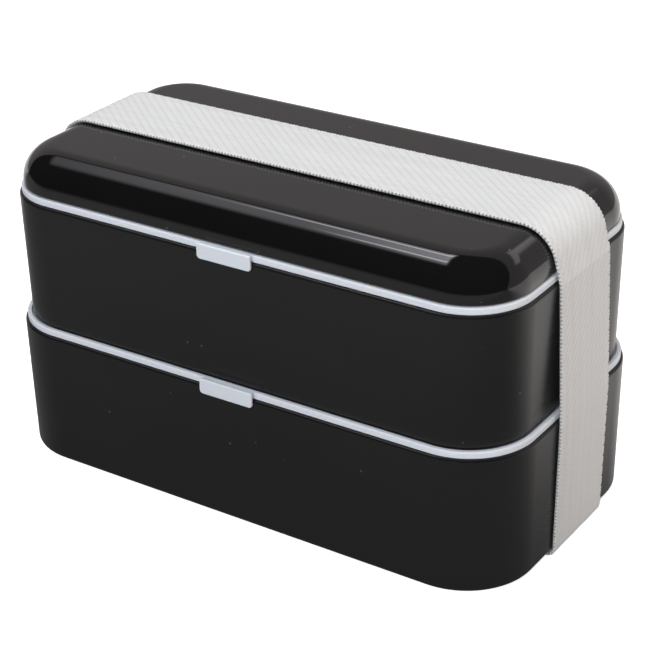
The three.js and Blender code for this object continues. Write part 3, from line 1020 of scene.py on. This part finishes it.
# ---- Camera ----
def make_camera():
    """Looks at the box from the front right and above."""
    azimuth, elevation, roll = math.radians(AZIMUTH), math.radians(ELEVATION), math.radians(ROLL)
    focus = Vector((0, LOWER.y, LOWER.base + FOCUS_HEIGHT))
    back = Vector((
        math.sin(azimuth) * math.cos(elevation),
        -math.cos(azimuth) * math.cos(elevation),
        math.sin(elevation),
    ))
    data = bpy.data.cameras.new("camera")
    data.sensor_width = SENSOR
    data.lens = LENS
    data.clip_start = 0.05
    data.clip_end = 20
    camera = bpy.data.objects.new("camera", data)
    bpy.context.scene.collection.objects.link(camera)
    aim = (-back).to_track_quat("-Z", "Y").to_matrix().to_4x4() @ Matrix.Rotation(roll, 4, "Z")
    place = focus + back * CAMERA_DISTANCE + aim.to_3x3() @ Vector(CAMERA_SLIDE)
    camera.matrix_world = Matrix.Translation(place) @ aim
    bpy.context.scene.camera = camera


# ---- Studio ----
FLOOR_SIZE = 8
PAPER_UNSEEN, PAPER_SEEN = (0.12, 0.12, 0.12), (0.9, 0.9, 0.9)
GLOW_UNSEEN, GLOW_SEEN = (1.0, 0.965, 0.93), (1.0, 1.0, 1.0)
SEEN_GLOW = 0.8


def make_floor():
    """Pale seamless floor: white to the eye, and in reflections a painted glow, dim in front with a painted
    contact shadow next to the box and bright behind.
    """
    clear_selection()
    bpy.ops.mesh.primitive_plane_add(size=FLOOR_SIZE, location=(0, 0, 0))
    floor = bpy.context.object
    floor.name = "floor"
    paper = bpy.data.materials.new("floor_paper")
    paper.use_nodes = True
    tree = paper.node_tree
    shader = tree.nodes["Principled BSDF"]
    shader.inputs["Roughness"].default_value = 0.9
    seen = add(tree, "ShaderNodeLightPath").outputs["Is Camera Ray"]
    place = add(tree, "ShaderNodeTexCoord").outputs["Object"]
    depth = add(tree, "ShaderNodeSeparateXYZ", {0: place}).outputs[1]
    # Painted light in the glow: darker next to the box in front as a painted contact shadow, and brighter
    # behind as painted backlight.
    close = remap(tree, depth, -0.28, -0.05, 0.2, 0.1)
    fade = remap(tree, depth, -1.2, -0.3, 0.1, 1.0)
    behind = remap(tree, depth, -0.02, 0.13, 0.0, 0.76)
    glow = sums(tree, "ADD", sums(tree, "MULTIPLY", close, fade), behind)
    glow_seen = sums(tree, "MULTIPLY_ADD", seen, sums(tree, "SUBTRACT", SEEN_GLOW, glow), glow)
    tree.links.new(blend_colour(tree, seen, PAPER_UNSEEN, PAPER_SEEN), shader.inputs["Base Color"])
    tree.links.new(blend_colour(tree, seen, GLOW_UNSEEN, GLOW_SEEN), shader.inputs["Emission Color"])
    tree.links.new(glow_seen, shader.inputs["Emission Strength"])
    floor.data.materials.append(paper)


def soft_light(name, place, target, size, watts, colour):
    """A broad lamp that lights the box but is never mirrored in it."""
    data = bpy.data.lights.new(name, "AREA")
    data.shape = "RECTANGLE"
    data.size, data.size_y = size
    data.energy = watts
    data.color = colour
    light = bpy.data.objects.new(name, data)
    bpy.context.scene.collection.objects.link(light)
    light.location = place
    light.rotation_euler = (Vector(target) - Vector(place)).to_track_quat("-Z", "Y").to_euler()
    light.visible_glossy = False
    light.visible_camera = False


def window(tree, value, low, high, low_soft, high_soft):
    """1 between low and high, falling to 0 over the given distances outside them."""
    rise = remap(tree, value, low - low_soft, low)
    fall = remap(tree, value, high, high + high_soft, 1.0, 0.0)
    return sums(tree, "MULTIPLY", rise, fall)


def patch(tree, across, away, across_range, away_range):
    """A soft-edged rectangle on the ceiling, from (low, high, low softness, high softness) each way."""
    return sums(tree, "MULTIPLY", window(tree, away, *away_range), window(tree, across, *across_range))


# Places are on a ceiling one unit up: low edge, high edge, and the softness of each.
NEAR_TUBE = (-0.55, -0.44, 0.06, 0.06), (-0.12, -0.09, 0.03, 0.02)
FAR_TUBE = (-0.6, -0.44, 0.12, 0.06), (0.27, 0.3, 0.03, 0.02)
SIDE_PATCH = (0.15, 0.9, 0.15, 0.3), (1.05, 1.4, 0.15, 0.2)
PANEL_DEPTH = (-0.1, 0.4, 0.3, 0.03)
TUBE_GLOW, SIDE_GLOW = 4.5, 0.8
DARK_FRONT, GREY_BACK = (0.02, 0.02, 0.02), (0.31, 0.293, 0.29)
LAMP_TINT = (0.96, 0.94, 1.0, 1.0)


def make_room():
    """Room round the table: grey back wall, dark front, a soft ceiling panel with two tubes in it."""
    world = bpy.data.worlds.new("studio")
    bpy.context.scene.world = world
    world.use_nodes = True
    tree = world.node_tree
    background = tree.nodes["Background"]
    direction = add(tree, "ShaderNodeSeparateXYZ", {0: add(tree, "ShaderNodeTexCoord").outputs["Generated"]})
    height = sums(tree, "MAXIMUM", direction.outputs[2], 0.02)
    across = sums(tree, "DIVIDE", direction.outputs[0], height)
    away = sums(tree, "DIVIDE", direction.outputs[1], height)
    wall = remap(tree, away, 0.46, 0.52)
    broad = remap(tree, across, -1.05, -0.62, 0.0, 1.1)
    glow = sums(tree, "MULTIPLY_ADD", remap(tree, across, -0.62, -0.48), 1.9, broad)
    glow = sums(tree, "MULTIPLY", glow, remap(tree, across, -0.44, -0.36, 1.0, 0.0))
    panel = sums(tree, "MULTIPLY", glow, window(tree, away, *PANEL_DEPTH))
    tubes = sums(tree, "ADD", patch(tree, across, away, *FAR_TUBE), patch(tree, across, away, *NEAR_TUBE))
    side = patch(tree, across, away, *SIDE_PATCH)
    colour = blend_colour(tree, wall, DARK_FRONT, GREY_BACK)
    bright = sums(tree, "MULTIPLY_ADD", tubes, TUBE_GLOW, sums(tree, "MULTIPLY_ADD", side, SIDE_GLOW, panel))
    lamps = add(tree, "ShaderNodeMix", {0: 1.0}, data_type="RGBA", blend_type="MULTIPLY")
    lamps.inputs[6].default_value = LAMP_TINT
    tree.links.new(bright, lamps.inputs[7])
    room = add(tree, "ShaderNodeMix", {0: 1.0}, data_type="RGBA", blend_type="ADD")
    tree.links.new(colour, room.inputs[6])
    tree.links.new(lamps.outputs[2], room.inputs[7])
    seen = add(tree, "ShaderNodeLightPath").outputs["Is Camera Ray"]
    tree.links.new(blend_colour(tree, seen, room.outputs[2], (1.0, 1.0, 1.0)), background.inputs["Color"])


def make_studio():
    bpy.context.scene.view_settings.view_transform = "Standard"
    make_floor()
    make_room()
    centre = (0, 0, 0.05)
    soft_light("front_fill", (0.25, -1.3, 0.75), centre, (1.2, 0.8), 18.5, (0.95, 0.97, 1.0))
    soft_light("top_fill", (0.0, 0.2, 1.3), centre, (1.2, 1.2), 9.3, (0.96, 0.98, 1.0))
    soft_light("side_fill", (1.3, 0.1, 0.24), centre, (0.9, 0.4), 4.1, (1.0, 0.91, 0.84))


make_camera()
make_studio()

for tier, level_name in ((LOWER, "lower"), (UPPER, "upper")):
    ring, plug = f"{level_name}_seal_ring", f"{level_name}_vent_plug"
    vent_low, vent_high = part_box(plug)
    vent_x = (vent_low.x + vent_high.x) / 2
    shell = make_container(f"{level_name}_shell", tier)
    stand_for(shell, tier.shell, f"{level_name}_tier", satin_black)
    lid = make_sealing_lid(f"{level_name}_sealing_lid", tier, vent_x)
    stand_for(lid, tier.lid, f"{level_name}_seal_lid", milk_white)
    gasket = make_seal_ring(f"{level_name}_gasket", tier, ring)
    stand_for(gasket, ring, f"{level_name}_seal_lid", soft_silicone)
    air_plug = make_vent_plug(f"{level_name}_air_plug", plug)
    stand_for(air_plug, plug, f"{level_name}_vent", soft_silicone)

cover = make_cover("cover_shell", "outer_lid")
stand_for(cover, "outer_lid", "cover", gloss_black)
divider = make_divider("compartment_divider", "lower_divider")
stand_for(divider, "lower_divider", "divider", milk_white)
strap = make_strap("elastic_band", "elastic_strap")
stand_for(strap, "elastic_strap", "strap", strap_cloth)
